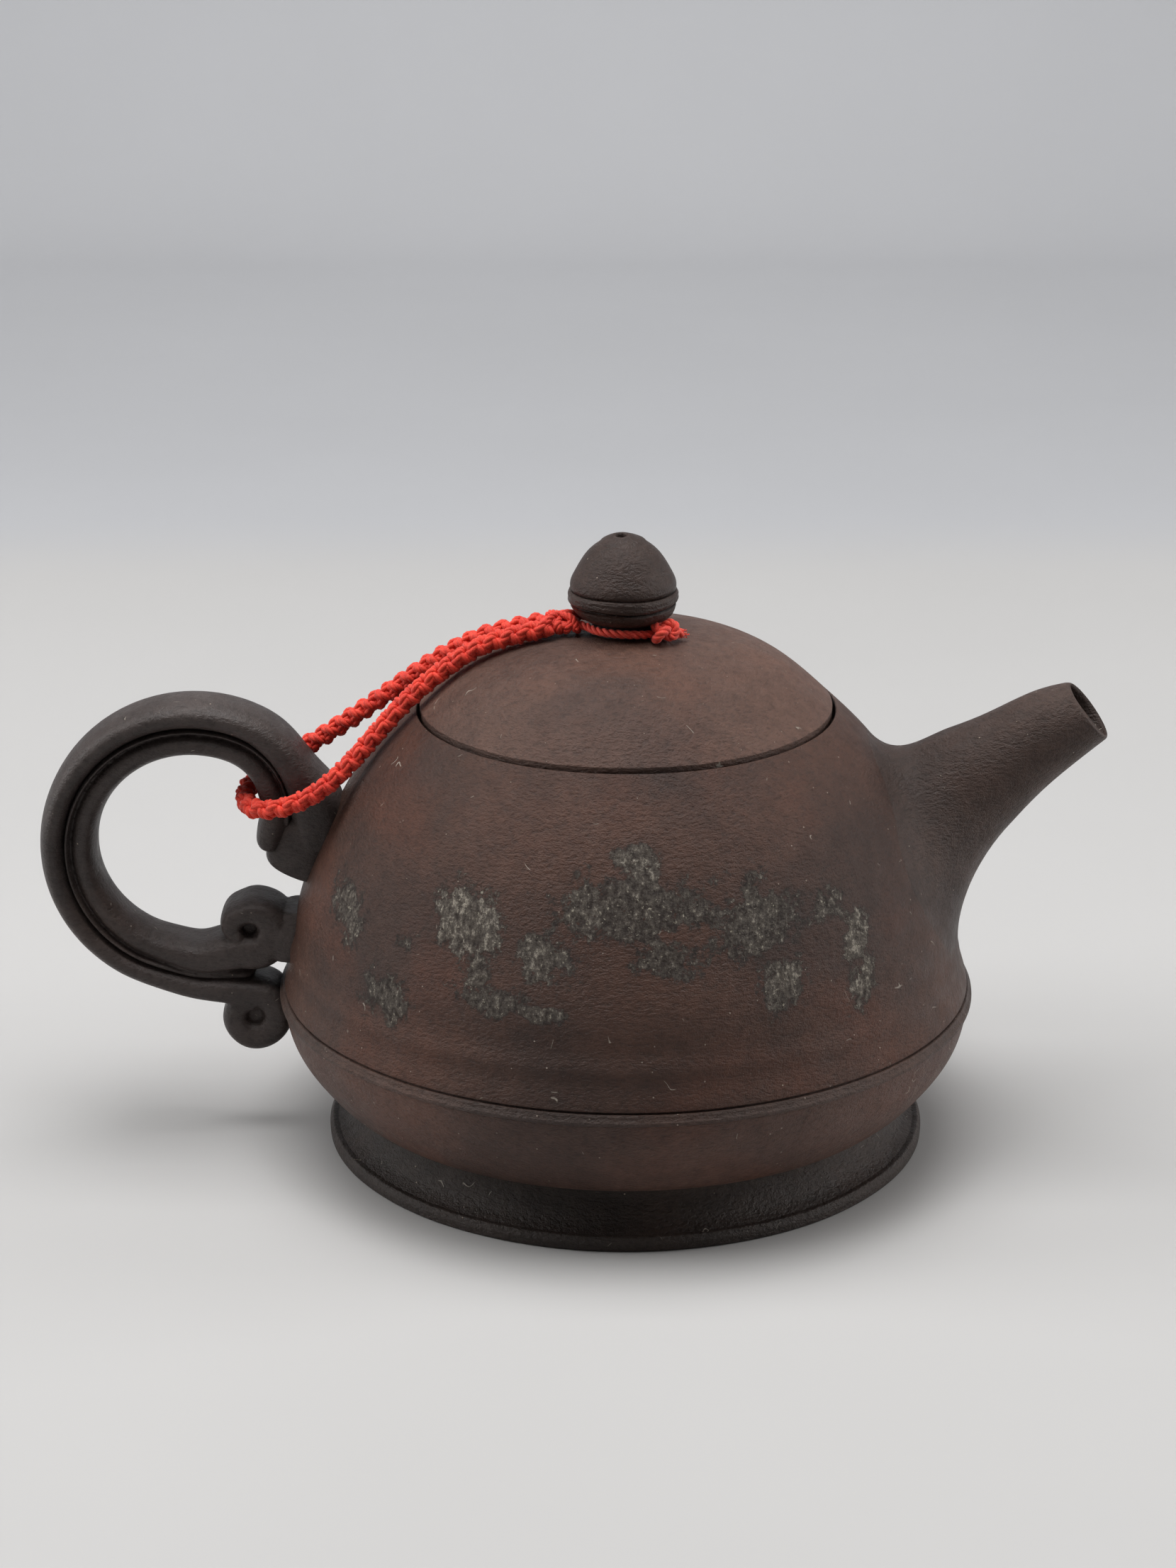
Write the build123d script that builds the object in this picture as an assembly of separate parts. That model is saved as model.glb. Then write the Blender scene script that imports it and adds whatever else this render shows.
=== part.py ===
from build123d import *

import math
import os

# A small round clay teapot. Millimetres, +Z up, spout towards +X and handle towards -X.
# The origin is the centre of the foot ring, in the plane that the pot stands on.
# Each piece is one that the potter forms and lutes on; the lid and its tie cord come off.

# ---- driving dimensions: the turned pot ----
WALL = 3.2
FOOT_R = 40.66
FOOT_LIP_H = 1.95
FOOT_INNER_R = 36.4
FOOT_TOP_R = 35.7
FOOT_H = 6.6
BASE_R = 33.0
BASE_BOTTOM = 4.8
BASE_TOP = 8.0
BOWL_TOP = 20.5
BOWL_TOP_R = 46.65
GIRDLE_TOP = 22.1
GIRDLE_R = 46.9
GIRDLE_INNER_R = 43.2
DOME_FOOT_R = 46.35
APEX_H = 70.55

# ---- driving dimensions: mouth and lid ----
MOUTH_R = 27.75
LID_R = 27.35
LEDGE_H = 57.3
LID_REST_H = 57.4
THROAT_R = 24.2
FLANGE_R = 23.8
FLANGE_INNER_R = 21.2
FLANGE_BOTTOM = 50.9

# ---- driving dimensions: knob ----
NECK_R = 4.5
NECK_TOP = 72.2
KNOB_R = 7.0
KNOB_TOP = 83.7
KNOB_BAND_LOW = 74.5
KNOB_BAND_HIGH = 76.3
KNOB_BAND_R = 7.25
VENT_R = 0.7

# ---- driving dimensions: handle ----
LOOP_CENTRE = (-57.8, 40.7)
LOOP_R = 17.2
ARM_R = 10.5
ARM_X = -44.9
ARM_BOTTOM = 46.3
HANDLE_END_ANGLE = 254.0
TAIL_LENGTH = 12.5
BAND_DEPTH = 3.9
OUTER_BAND_HALF_W = 5.0
INNER_BAND_HALF_W = 4.3
BAND_SPLIT = 0.3
ROOT_HALF_W = 5.0
ROOT_BOTTOM = 37.2
UPPER_SCROLL = (-49.4, 28.4, 5.0)
LOWER_SCROLL = (-49.9, 16.7, 4.1)
SCROLL_HALF_W = 4.6
SCROLL_ROUNDING = 1.6

# ---- driving dimensions: spout and strainer ----
STRAINER_CENTRE = (38.0, 0.0, 41.6)
STRAINER_R = 8.8
STRAINER_WALL = 1.5
STRAINER_HOLE_R = 1.0
STRAINER_TILT = 12.0

# ---- driving dimensions: tie cord ----
BRAID_R = 1.35
THREAD_R = 0.5
NECK_LOOP_R = 5.5
NECK_LOOP_H = 71.35


def turned(*edges):
    """A closed half-outline in the XZ plane, turned a full circle about Z."""
    return revolve(make_face(Wire(list(edges))), Axis.Z)


def at(r, z):
    """A point of a turned outline."""
    return Vector(r, 0, z)


def chain(points):
    """Straight edges from each point to the next."""
    return [Line(at(*a), at(*b)) for a, b in zip(points, points[1:])]


def inset(points, depth):
    """The outline's points moved inwards by depth, square to the line through their neighbours."""
    moved = []
    for i, (r, z) in enumerate(points):
        before = points[max(i - 1, 0)]
        after = points[min(i + 1, len(points) - 1)]
        dr, dz = after[0] - before[0], after[1] - before[1]
        length = math.hypot(dr, dz)
        moved.append((r - depth * dz / length, z + depth * dr / length))
    return moved


# The shell of dome and lid is one curve, so that the closed lid carries the dome on.
DOME_SIDE = [
    (DOME_FOOT_R, GIRDLE_TOP),
    (45.0, 27.0),
    (44.3, 32.0),
    (42.6, 37.5),
    (38.6, 46.5),
    (33.3, 54.7),
    (27.6, 60.5),
    (21.0, 66.1),
    (11.0, 69.75),
]
BOWL_SIDE = [
    (FOOT_TOP_R, FOOT_H),
    (39.6, 8.2),
    (43.0, 11.6),
    (45.6, 15.8),
    (BOWL_TOP_R, BOWL_TOP),
]


def dome_solid(depth=0.0):
    """The dome and lid as one filled solid, or the space inside them for a wall of that depth."""
    side = inset(DOME_SIDE, depth) if depth else DOME_SIDE
    # The inset foot of the dome is brought back to its plane.
    side = [(side[0][0], GIRDLE_TOP)] + side[1:]
    top = APEX_H - depth
    curve = Spline(*[at(*p) for p in side], at(0, top), tangents=[(-0.15, 0, 1), (-1, 0, 0)])
    return turned(curve, *chain([(0, top), (0, GIRDLE_TOP), side[0]]))


def disc(radius, bottom, top):
    """An upright cylinder on the pot's axis."""
    return Pos(0, 0, bottom) * Cylinder(
        radius, top - bottom, align=(Align.CENTER, Align.CENTER, Align.MIN)
    )


# ---- the turned pot ----
def make_foot_ring():
    """The flared foot: a rounded lip, then a hollow curve up to the bowl."""
    lip_edge = 0.5
    lip = [(FOOT_INNER_R, 0), (FOOT_R - lip_edge, 0)]
    low_round = ThreePointArc(
        at(FOOT_R - lip_edge, 0), at(FOOT_R - 0.15, 0.15), at(FOOT_R, lip_edge)
    )
    side = Line(at(FOOT_R, lip_edge), at(FOOT_R, FOOT_LIP_H - lip_edge))
    high_round = ThreePointArc(
        at(FOOT_R, FOOT_LIP_H - lip_edge),
        at(FOOT_R - 0.2, FOOT_LIP_H - 0.13),
        at(FOOT_R - 0.7, FOOT_LIP_H),
    )
    crease = Line(at(FOOT_R - 0.7, FOOT_LIP_H), at(FOOT_R - 1.1, FOOT_LIP_H - 0.05))
    flare = ThreePointArc(
        at(FOOT_R - 1.1, FOOT_LIP_H - 0.05), at(37.1, 3.75), at(FOOT_TOP_R, FOOT_H)
    )
    inside = chain(
        [
            (FOOT_TOP_R, FOOT_H),
            (BASE_R, FOOT_H),
            (BASE_R, BASE_BOTTOM),
            (34.0, 3.2),
            (FOOT_INNER_R, 0),
        ]
    )
    return turned(*chain(lip), low_round, side, high_round, crease, flare, *inside)


def make_base_disc():
    """The floor of the pot, set inside the foot and the bowl."""
    return disc(BASE_R, BASE_BOTTOM, BASE_TOP)


def make_lower_bowl():
    """The round lower wall, from the foot to the girdle."""
    outer = Spline(*[at(*p) for p in BOWL_SIDE])
    inner_points = [
        (p if p[1] <= BOWL_TOP else (p[0], BOWL_TOP)) for p in inset(BOWL_SIDE, WALL)[2:]
    ]
    inner_points[-1] = (inner_points[-1][0], BOWL_TOP)
    inner = Spline(*[at(*p) for p in reversed(inner_points)], at(BASE_R + 1.0, BASE_TOP + 0.4))
    rim = Line(at(*BOWL_SIDE[-1]), at(*inner_points[-1]))
    step = chain(
        [
            (BASE_R + 1.0, BASE_TOP + 0.4),
            (BASE_R, BASE_TOP),
            (BASE_R, FOOT_H),
            BOWL_SIDE[0],
        ]
    )
    return turned(outer, rim, inner, *step)


def make_girdle_band():
    """The thin band over the joint of bowl and dome, parted from the dome by a fine groove."""
    groove = 0.35
    edge = 0.25
    return turned(
        *chain(
            [
                (GIRDLE_INNER_R, BOWL_TOP),
                (GIRDLE_R - edge, BOWL_TOP),
                (GIRDLE_R, BOWL_TOP + edge),
                (GIRDLE_R - 0.15, GIRDLE_TOP - groove - 0.1),
                (DOME_FOOT_R - groove, GIRDLE_TOP - groove),
                (DOME_FOOT_R - groove, GIRDLE_TOP),
                (GIRDLE_INNER_R, GIRDLE_TOP),
                (GIRDLE_INNER_R, BOWL_TOP),
            ]
        )
    )


def make_body_dome(outer, space, spout_bore):
    """The domed upper wall, with the mouth cut square and the way into the spout."""
    return outer - space - disc(MOUTH_R, LEDGE_H - 5, APEX_H + 1) - spout_bore


def make_mouth_ring(dome):
    """The ring luted inside the mouth: the lid rests on its ledge."""
    blank = turned(
        *chain(
            [
                (THROAT_R, LEDGE_H),
                (MOUTH_R, LEDGE_H),
                (MOUTH_R + 1.6, 55.9),
                (MOUTH_R + 2.6, 53.4),
                (THROAT_R + 2.0, 52.4),
                (THROAT_R, 53.4),
                (THROAT_R, LEDGE_H),
            ]
        )
    )
    return blank - dome


# ---- the lid ----
def make_lid_dome(outer, space, vent):
    """The lid's plate: the dome carried on, thick at its rim, hollow inside."""
    plate = outer & disc(LID_R, LID_REST_H, APEX_H + 1)
    hollow = space & disc(FLANGE_INNER_R, LID_REST_H - 1, APEX_H)
    return plate - hollow - vent


def make_lid_flange():
    """The wall under the lid that centres it in the mouth."""
    chamfer = 0.6
    return turned(
        *chain(
            [
                (FLANGE_INNER_R, LID_REST_H),
                (FLANGE_INNER_R, FLANGE_BOTTOM),
                (FLANGE_R - chamfer, FLANGE_BOTTOM),
                (FLANGE_R, FLANGE_BOTTOM + chamfer),
                (FLANGE_R, LID_REST_H),
                (FLANGE_INNER_R, LID_REST_H),
            ]
        )
    )


def make_knob_neck(lid_plate, vent):
    """The short stem between lid and knob, where the tie cord is looped."""
    return disc(NECK_R, APEX_H - 1.5, NECK_TOP) - lid_plate - vent


def make_knob(vent):
    """A bud with a raised band between two grooves, and a vent down its middle."""
    cup = ThreePointArc(at(NECK_R, NECK_TOP), at(6.15, 72.9), at(6.9, 74.1))
    band = chain(
        [
            (6.9, 74.1),
            (6.8, KNOB_BAND_LOW - 0.1),
            (KNOB_BAND_R, KNOB_BAND_LOW + 0.3),
            (KNOB_BAND_R, KNOB_BAND_HIGH - 0.3),
            (6.8, KNOB_BAND_HIGH),
            (KNOB_R - 0.05, KNOB_BAND_HIGH + 0.35),
        ]
    )
    bud = Spline(
        at(KNOB_R - 0.05, KNOB_BAND_HIGH + 0.35),
        at(6.5, 78.6),
        at(4.9, 81.2),
        at(2.6, 82.8),
        at(0, KNOB_TOP),
        tangents=[(0.05, 0, 1), (-1, 0, 0.3)],
    )
    core = chain([(0, KNOB_TOP), (0, NECK_TOP), (NECK_R, NECK_TOP)])
    return turned(cup, *band, bud, *core) - vent


# ---- the spout ----
# Each section: centre x and z, tilt of its axis above level, half its height, half its width, bore radius.
SPOUT_SECTIONS = [
    (36.0, 40.5, 12.0, 14.0, 12.0, 6.6),
    (42.6, 44.6, 25.0, 11.3, 10.2, 6.0),
    (47.25, 50.0, 32.0, 7.7, 7.4, 5.0),
    (52.3, 53.9, 36.0, 6.3, 6.2, 4.2),
    (58.0, 57.6, 37.0, 5.6, 5.5, 3.6),
    (61.2, 59.15, 39.0, 4.4, 4.4, 3.0),
]


def spout_plane(x, z, tilt):
    """The plane square to the spout at one section, with its own X sideways and its own Y up the section."""
    along = math.radians(tilt)
    return Plane(
        origin=(x, 0, z), x_dir=(0, 1, 0), z_dir=(math.cos(along), 0, math.sin(along))
    )


def make_spout_solid():
    """The spout's outside, from well inside the dome to the mouth."""
    faces = [
        spout_plane(x, z, tilt) * Ellipse(half_w, half_h)
        for x, z, tilt, half_h, half_w, _ in SPOUT_SECTIONS
    ]
    return loft(faces)


def make_spout_bore():
    """The way through the dome's wall and up the spout, carried on past the mouth."""
    faces = [
        spout_plane(x, z, tilt) * Circle(bore)
        for x, z, tilt, _, _, bore in SPOUT_SECTIONS
    ]
    x, z, tilt, _, _, bore = SPOUT_SECTIONS[-1]
    past = spout_plane(x, z, tilt) * Cylinder(bore, 2, align=(Align.CENTER, Align.CENTER, Align.MIN))
    return loft(faces) + past


def make_strainer(space):
    """The pierced ball strainer luted over the spout's way in, bulging into the pot."""
    ball = Sphere(STRAINER_R) - Sphere(STRAINER_R - STRAINER_WALL)
    shell = Pos(*STRAINER_CENTRE) * ball & space
    for polar, count in ((0, 1), (30, 6), (58, 10)):
        for i in range(count):
            turn = Rot(0, 0, 360 * i / count) * Rot(0, polar, 0)
            drill = turn * Cylinder(
                STRAINER_HOLE_R, 2 * STRAINER_R, align=(Align.CENTER, Align.CENTER, Align.MIN)
            )
            shell -= Pos(*STRAINER_CENTRE) * Rot(0, -90 - STRAINER_TILT, 0) * drill
    return shell


# ---- the handle ----
def loop_point(centre, radius, angle):
    """A point of the handle's line, on an arc about centre."""
    turn = math.radians(angle)
    return Vector(
        centre[0] + radius * math.cos(turn), 0, centre[1] + radius * math.sin(turn)
    )


def handle_line():
    """The handle's centre line: up the arm, over and round the loop, and straight in to the scrolls."""
    # The arm's arc touches the arm's upright line and the loop from inside.
    arm_centre_x = ARM_X - ARM_R
    apart = LOOP_R - ARM_R
    lean = math.acos((arm_centre_x - LOOP_CENTRE[0]) / apart)
    arm_centre = (arm_centre_x, LOOP_CENTRE[1] + apart * math.sin(lean))
    join = math.degrees(lean)
    start = Vector(ARM_X, 0, ARM_BOTTOM)
    arm_start = loop_point(arm_centre, ARM_R, 0)
    arm_end = loop_point(arm_centre, ARM_R, join)
    middle = (join + HANDLE_END_ANGLE) / 2
    loop_end = loop_point(LOOP_CENTRE, LOOP_R, HANDLE_END_ANGLE)
    heading = math.radians(HANDLE_END_ANGLE + 90)
    tail = loop_end + Vector(math.cos(heading), 0, math.sin(heading)) * TAIL_LENGTH
    return Wire(
        [
            Line(start, arm_start),
            ThreePointArc(arm_start, loop_point(arm_centre, ARM_R, join / 2), arm_end),
            ThreePointArc(arm_end, loop_point(LOOP_CENTRE, LOOP_R, middle), loop_end),
            Line(loop_end, tail),
        ]
    )


def band_section(side, half_w, shoulder):
    """Half of the handle's section: a flat back at the split and a rounded face on the given side."""
    split = ARM_X + BAND_SPLIT
    face = ARM_X + side * BAND_DEPTH
    corner = ARM_X + side * shoulder

    def point(x, y):
        return Vector(x, y, ARM_BOTTOM)

    back_w = INNER_BAND_HALF_W
    edges = [
        Line(point(split, -back_w), point(split, back_w)),
        Line(point(split, back_w), point(corner, half_w)),
        ThreePointArc(point(corner, half_w), point(face, 0), point(corner, -half_w)),
        Line(point(corner, -half_w), point(split, -back_w)),
    ]
    return make_face(Wire(edges))


def scroll(centre_x, centre_z, radius, neck_bottom, neck_top, pot):
    """A rolled scroll end with a dimple on each side, and the neck that joins it to the pot's outside."""
    eye_r = 0.24 * radius
    eye_depth = 1.2
    wheel = Cylinder(radius, 2 * SCROLL_HALF_W)
    wheel = fillet(wheel.edges().filter_by(GeomType.CIRCLE), SCROLL_ROUNDING)
    roll = Pos(centre_x, 0, centre_z) * Rot(90, 0, 0) * wheel
    neck_l = -43.0 - centre_x
    neck = Pos(centre_x + neck_l / 2, 0, (neck_bottom + neck_top) / 2) * Box(
        neck_l, 1.8 * SCROLL_HALF_W, neck_top - neck_bottom
    )
    for solid in pot:
        roll -= solid
        neck -= solid
    body = roll + neck
    for side in (-1, 1):
        dimple = Cone(eye_r, 0.5 * eye_r, eye_depth)
        place = Pos(centre_x - 1.2, side * (SCROLL_HALF_W - eye_depth / 2), centre_z - 0.5)
        body -= place * Rot(side * 90, 0, 0) * dimple
    return body


def make_handle_root(outer):
    """The block that joins the handle's arm to the dome."""
    outline = [
        (-48.8, ARM_BOTTOM),
        (-48.8, 40.0),
        (-47.9, 38.3),
        (-45.0, ROOT_BOTTOM),
        (-38.0, ROOT_BOTTOM - 0.6),
        (-36.5, ARM_BOTTOM),
        (-48.8, ARM_BOTTOM),
    ]
    side = make_face(Wire(chain(outline)))
    return extrude(side, amount=ROOT_HALF_W, both=True, dir=(0, 1, 0)) - outer


# ---- the tie cord ----
# The braid's route: from the knot down the lid, round in front of the handle's arm, and back behind it.
BRAID_ROUTE = [
    (-9.9, -1.75, 71.5),
    (-15.2, -2.2, 70.5),
    (-19.8, -2.4, 68.95),
    (-24.2, -2.7, 65.95),
    (-28.4, -3.1, 62.5),
    (-32.4, -4.1, 58.3),
    (-36.2, -5.6, 54.1),
    (-40.4, -7.0, 50.4),
    (-45.3, -7.3, 48.2),
    (-49.4, -5.7, 47.5),
    (-50.9, -2.0, 47.6),
    (-50.9, 2.2, 47.9),
    (-49.4, 5.8, 48.9),
    (-45.2, 7.2, 50.9),
    (-40.2, 7.0, 54.0),
    (-35.8, 6.1, 57.2),
    (-31.4, 5.1, 60.6),
    (-26.9, 4.0, 64.2),
    (-22.2, 2.8, 67.5),
    (-16.6, 1.5, 70.3),
    (-9.9, 1.05, 71.5),
]


def make_braided_cord(left_knot):
    """The braid as a plain round tube: straight runs joined by the largest arcs they leave room for."""
    points = [Vector(*p) for p in BRAID_ROUTE]
    runs = [b - a for a, b in zip(points, points[1:])]
    radii = []
    for before, after in zip(runs, runs[1:]):
        half_turn = math.radians(before.get_angle(after)) / 2
        radii.append(0.45 * min(before.length, after.length) / math.tan(half_turn))
    print("cord radii", [round(r, 1) for r in radii])
    path = FilletPolyline(*points, radius=radii)
    section = Plane(origin=points[0], z_dir=runs[0]) * Circle(BRAID_R)
    tube = sweep(section, path=path)
    expected = math.pi * BRAID_R**2 * path.length
    print("cord length", round(path.length, 1), "volume ratio", round(tube.volume / expected, 4))
    return tube - left_knot


def rounded_lump(length, width, height):
    """A knot as a small block with well rounded edges."""
    block = Box(length, width, height)
    return fillet(block.edges(), 0.45 * height)


def make_neck_loop():
    """The thin cord round the knob's neck."""
    return Pos(0, 0, NECK_LOOP_H) * Torus(NECK_LOOP_R, THREAD_R)


def make_left_knot(neck_loop):
    """The binding that holds both strands of the braid against the knob's neck."""
    return Pos(-8.6, -0.35, 71.7) * rounded_lump(4.7, 5.4, 2.2) - neck_loop


def make_right_knot(neck_loop):
    """The knot that closes the thin cord."""
    return Rot(0, 0, -40) * Pos(7.5, 0, 71.75) * rounded_lump(3.2, 3.6, 2.5) - neck_loop


def make_cord_tail(right_knot):
    """The trimmed end of the thin cord, lying on the lid."""
    path = Line((6.6, -4.6, 71.4), (8.6, -2.9, 70.8))
    section = Plane(origin=path @ 0, z_dir=path % 0) * Circle(0.45)
    return sweep(section, path=path) - right_knot


def save(name, shape):
    """Writes one named piece."""
    export_step(shape, f"parts/{name}.step")


def main():
    os.makedirs("parts", exist_ok=True)
    outer = dome_solid()
    space = dome_solid(WALL)
    spout_bore = make_spout_bore()
    vent = disc(VENT_R, LID_REST_H, KNOB_TOP + 1)

    foot_ring = make_foot_ring()
    lower_bowl = make_lower_bowl()
    girdle_band = make_girdle_band()
    bowl_fill = turned(
        Spline(*[at(*p) for p in BOWL_SIDE]),
        *chain([BOWL_SIDE[-1], (0, BOWL_TOP), (0, FOOT_H), BOWL_SIDE[0]]),
    )
    body_dome = make_body_dome(outer, space, spout_bore)
    save("foot_ring", foot_ring)
    save("base_disc", make_base_disc())
    save("lower_bowl", lower_bowl)
    save("girdle_band", girdle_band)
    save("body_dome", body_dome)
    save("mouth_ring", make_mouth_ring(body_dome))
    save("spout", make_spout_solid() - outer - spout_bore)
    save("strainer", make_strainer(space))

    line = handle_line()
    upper_scroll = scroll(*UPPER_SCROLL, 23.9, 32.3, [outer])
    lower_scroll = scroll(*LOWER_SCROLL, 14.8, 20.4, [bowl_fill])
    outer_band = sweep(band_section(1, OUTER_BAND_HALF_W, 1.5), path=line)
    inner_band = sweep(band_section(-1, INNER_BAND_HALF_W, 1.2), path=line)
    scrolls = upper_scroll + lower_scroll
    save("handle_root", make_handle_root(outer))
    save("handle_outer_band", outer_band - scrolls)
    save("handle_inner_band", inner_band - scrolls)
    save("upper_scroll", upper_scroll)
    save("lower_scroll", lower_scroll)

    lid_dome = make_lid_dome(outer, space, vent)
    save("lid_dome", lid_dome)
    save("lid_flange", make_lid_flange())
    save("knob_neck", make_knob_neck(outer, vent))
    save("knob", make_knob(vent))

    neck_loop = make_neck_loop()
    right_knot = make_right_knot(neck_loop)
    left_knot = make_left_knot(neck_loop)
    save("neck_loop", neck_loop)
    save("left_knot", left_knot)
    save("right_knot", right_knot)
    save("cord_tail", make_cord_tail(right_knot))
    save("braided_cord", make_braided_cord(left_knot))


main()
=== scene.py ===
import math
import random

import bpy
import numpy as np
from mathutils import Matrix, Vector, noise


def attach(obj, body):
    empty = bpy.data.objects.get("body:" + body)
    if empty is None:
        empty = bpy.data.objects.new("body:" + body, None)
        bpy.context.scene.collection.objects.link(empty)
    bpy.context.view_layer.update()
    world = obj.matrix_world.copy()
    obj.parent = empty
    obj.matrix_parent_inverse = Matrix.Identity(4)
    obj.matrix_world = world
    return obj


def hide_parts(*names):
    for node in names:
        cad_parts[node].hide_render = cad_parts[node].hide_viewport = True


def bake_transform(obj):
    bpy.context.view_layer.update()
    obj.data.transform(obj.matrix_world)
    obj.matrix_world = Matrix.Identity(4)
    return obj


# A small round clay teapot with a red tie cord. Lengths here are millimetres in the frame of the CAD model;
# MM turns them into metres where a mesh, curve, light or camera is made.
MM = 0.001

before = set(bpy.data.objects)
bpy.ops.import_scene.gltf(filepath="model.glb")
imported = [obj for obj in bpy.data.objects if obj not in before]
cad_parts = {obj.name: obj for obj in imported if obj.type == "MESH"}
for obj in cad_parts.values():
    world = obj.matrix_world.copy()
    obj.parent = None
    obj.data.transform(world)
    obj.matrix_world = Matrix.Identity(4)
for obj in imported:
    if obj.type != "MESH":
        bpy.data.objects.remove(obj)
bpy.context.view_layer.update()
random.seed(7)


# -------------------- camera
CAMERA_TARGET = Vector((-5.02, 0.0, 49.07))
CAMERA_DISTANCE = 466.8
CAMERA_ELEVATION = math.radians(19.342)
CAMERA_ROLL = math.radians(-0.115)
FOCAL_LENGTH = 80.07
SENSOR = 36.0


def make_camera():
    """A long lens, a little above the pot and square to its handle and spout."""
    data = bpy.data.cameras.new("camera")
    data.lens = FOCAL_LENGTH
    data.sensor_width = SENSOR
    data.clip_start = 0.01
    data.clip_end = 20.0
    camera = bpy.data.objects.new("camera", data)
    bpy.context.scene.collection.objects.link(camera)
    ahead = Vector((0, math.cos(CAMERA_ELEVATION), -math.sin(CAMERA_ELEVATION)))
    place = Matrix.Translation((CAMERA_TARGET - ahead * CAMERA_DISTANCE) * MM)
    tilt = Matrix.Rotation(math.pi / 2 - CAMERA_ELEVATION, 4, "X")
    camera.matrix_world = place @ tilt @ Matrix.Rotation(CAMERA_ROLL, 4, "Z")
    bpy.context.scene.camera = camera


# -------------------- lines
def unit(vectors):
    """The same vectors, each of length one."""
    return vectors / np.maximum(np.linalg.norm(vectors, axis=-1, keepdims=True), 1e-12)


def spline(points, steps, first=None, last=None):
    """Points of the smooth cubic curve through the given points; first and last are end directions."""
    p = np.array(points, float)
    n = len(p)
    h = np.linalg.norm(np.diff(p, axis=0), axis=1)
    a = np.zeros((n, n))
    b = np.zeros_like(p)
    for i in range(1, n - 1):
        a[i, i - 1 : i + 2] = h[i], 2 * (h[i - 1] + h[i]), h[i - 1]
        b[i] = 3 * (h[i] * (p[i] - p[i - 1]) / h[i - 1] + h[i - 1] * (p[i + 1] - p[i]) / h[i])
    a[0, :2], b[0] = (2, 1), 3 * (p[1] - p[0]) / h[0]
    a[-1, -2:], b[-1] = (1, 2), 3 * (p[-1] - p[-2]) / h[-1]
    if first is not None:
        a[0, :2], b[0] = (1, 0), unit(np.array(first, float))
    if last is not None:
        a[-1, -2:], b[-1] = (0, 1), unit(np.array(last, float))
    m = np.linalg.solve(a, b)
    made = []
    for i in range(n - 1):
        for s in np.arange(steps) / steps:
            made.append(
                (1 + 2 * s) * (1 - s) ** 2 * p[i]
                + s * (1 - s) ** 2 * h[i] * m[i]
                + s * s * (3 - 2 * s) * p[i + 1]
                + s * s * (s - 1) * h[i] * m[i + 1]
            )
    return np.array(made + [p[-1]])


def along(line):
    """The distance of each point of a line from its start."""
    return np.concatenate([[0], np.cumsum(np.linalg.norm(np.diff(line, axis=0), axis=1))])


def spaced(line, step):
    """The line again, with points evenly spaced about step apart."""
    at = along(line)
    places = np.linspace(0, at[-1], max(2, round(at[-1] / step) + 1))
    return np.stack([np.interp(places, at, line[:, k]) for k in range(line.shape[1])], axis=1)


def frames(line, side):
    """Two directions square to a line at each of its points, that never twist about it."""
    tangent = unit(np.gradient(line, axis=0))
    normal = np.zeros_like(line)
    now = np.array(side, float)
    for i, t in enumerate(tangent):
        now = now - t * (now @ t)
        now = now / np.linalg.norm(now)
        normal[i] = now
    return normal, np.cross(tangent, normal)


def circle(count):
    """Evenly spaced angles round a full turn."""
    return np.arange(count) / count * 2 * np.pi


def boxy(turns, square):
    """Cosine and sine of the turns; square 2 keeps them round, and more draws them towards a box."""
    power = 2 / square
    u = np.sign(np.cos(turns)) * np.abs(np.cos(turns)) ** power
    v = np.sign(np.sin(turns)) * np.abs(np.sin(turns)) ** power
    return u, v


# -------------------- meshes
# The handmade swell, its reach, and the radius and height from which it has its full size.
SWELL = 0.10
SWELL_REACH = 16.0
SWELL_FULL_R = 8
SWELL_FULL_H = 6
VOXEL = 0.2
SMOOTHING = 3
ARC_STEPS = 5


def add_mesh(name, points, faces):
    """A smooth mesh object from points in millimetres."""
    mesh = bpy.data.meshes.new(name)
    mesh.from_pydata((np.asarray(points) * MM).tolist(), [], faces)
    mesh.validate()
    mesh.polygons.foreach_set("use_smooth", [True] * len(mesh.polygons))
    made = bpy.data.objects.new(name, mesh)
    bpy.context.scene.collection.objects.link(made)
    return made


def grid_faces(rows, columns, wrap_rows=False, wrap_columns=True):
    """Quads between the points of a grid, row after row."""
    faces = []
    for i in range(rows if wrap_rows else rows - 1):
        a, b = i * columns, (i + 1) % rows * columns
        for j in range(columns if wrap_columns else columns - 1):
            k = (j + 1) % columns
            faces.append((a + j, a + k, b + k, b + j))
    return faces


def capped_faces(rows, columns):
    """The faces of a tube of rings, with both its ends closed."""
    last = (rows - 1) * columns
    ends = [tuple(range(columns - 1, -1, -1)), tuple(range(last, last + columns))]
    return grid_faces(rows, columns) + ends


def joined(parts):
    """Several (points, faces) as one."""
    points, faces, count = [], [], 0
    for p, f in parts:
        points.append(np.asarray(p, float))
        faces += [tuple(k + count for k in face) for face in f]
        count += len(p)
    return np.concatenate(points), faces


def handmade(points):
    """The slight unevenness of a pot formed by hand: a slow swell that neighbouring pieces share."""
    moved = np.array(points, float)
    for i, p in enumerate(moved):
        q = Vector(p) / SWELL_REACH
        r = math.hypot(p[0], p[1])
        if r > 1e-6:
            swell = SWELL * noise.noise(q) * min(1.0, r / SWELL_FULL_R)
            moved[i, 0] += swell * p[0] / r
            moved[i, 1] += swell * p[1] / r
        lift = 0.5 * SWELL * noise.noise(q + Vector((9, 4, 2)))
        moved[i, 2] += lift * min(1.0, p[2] / SWELL_FULL_H)
    return moved


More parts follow.
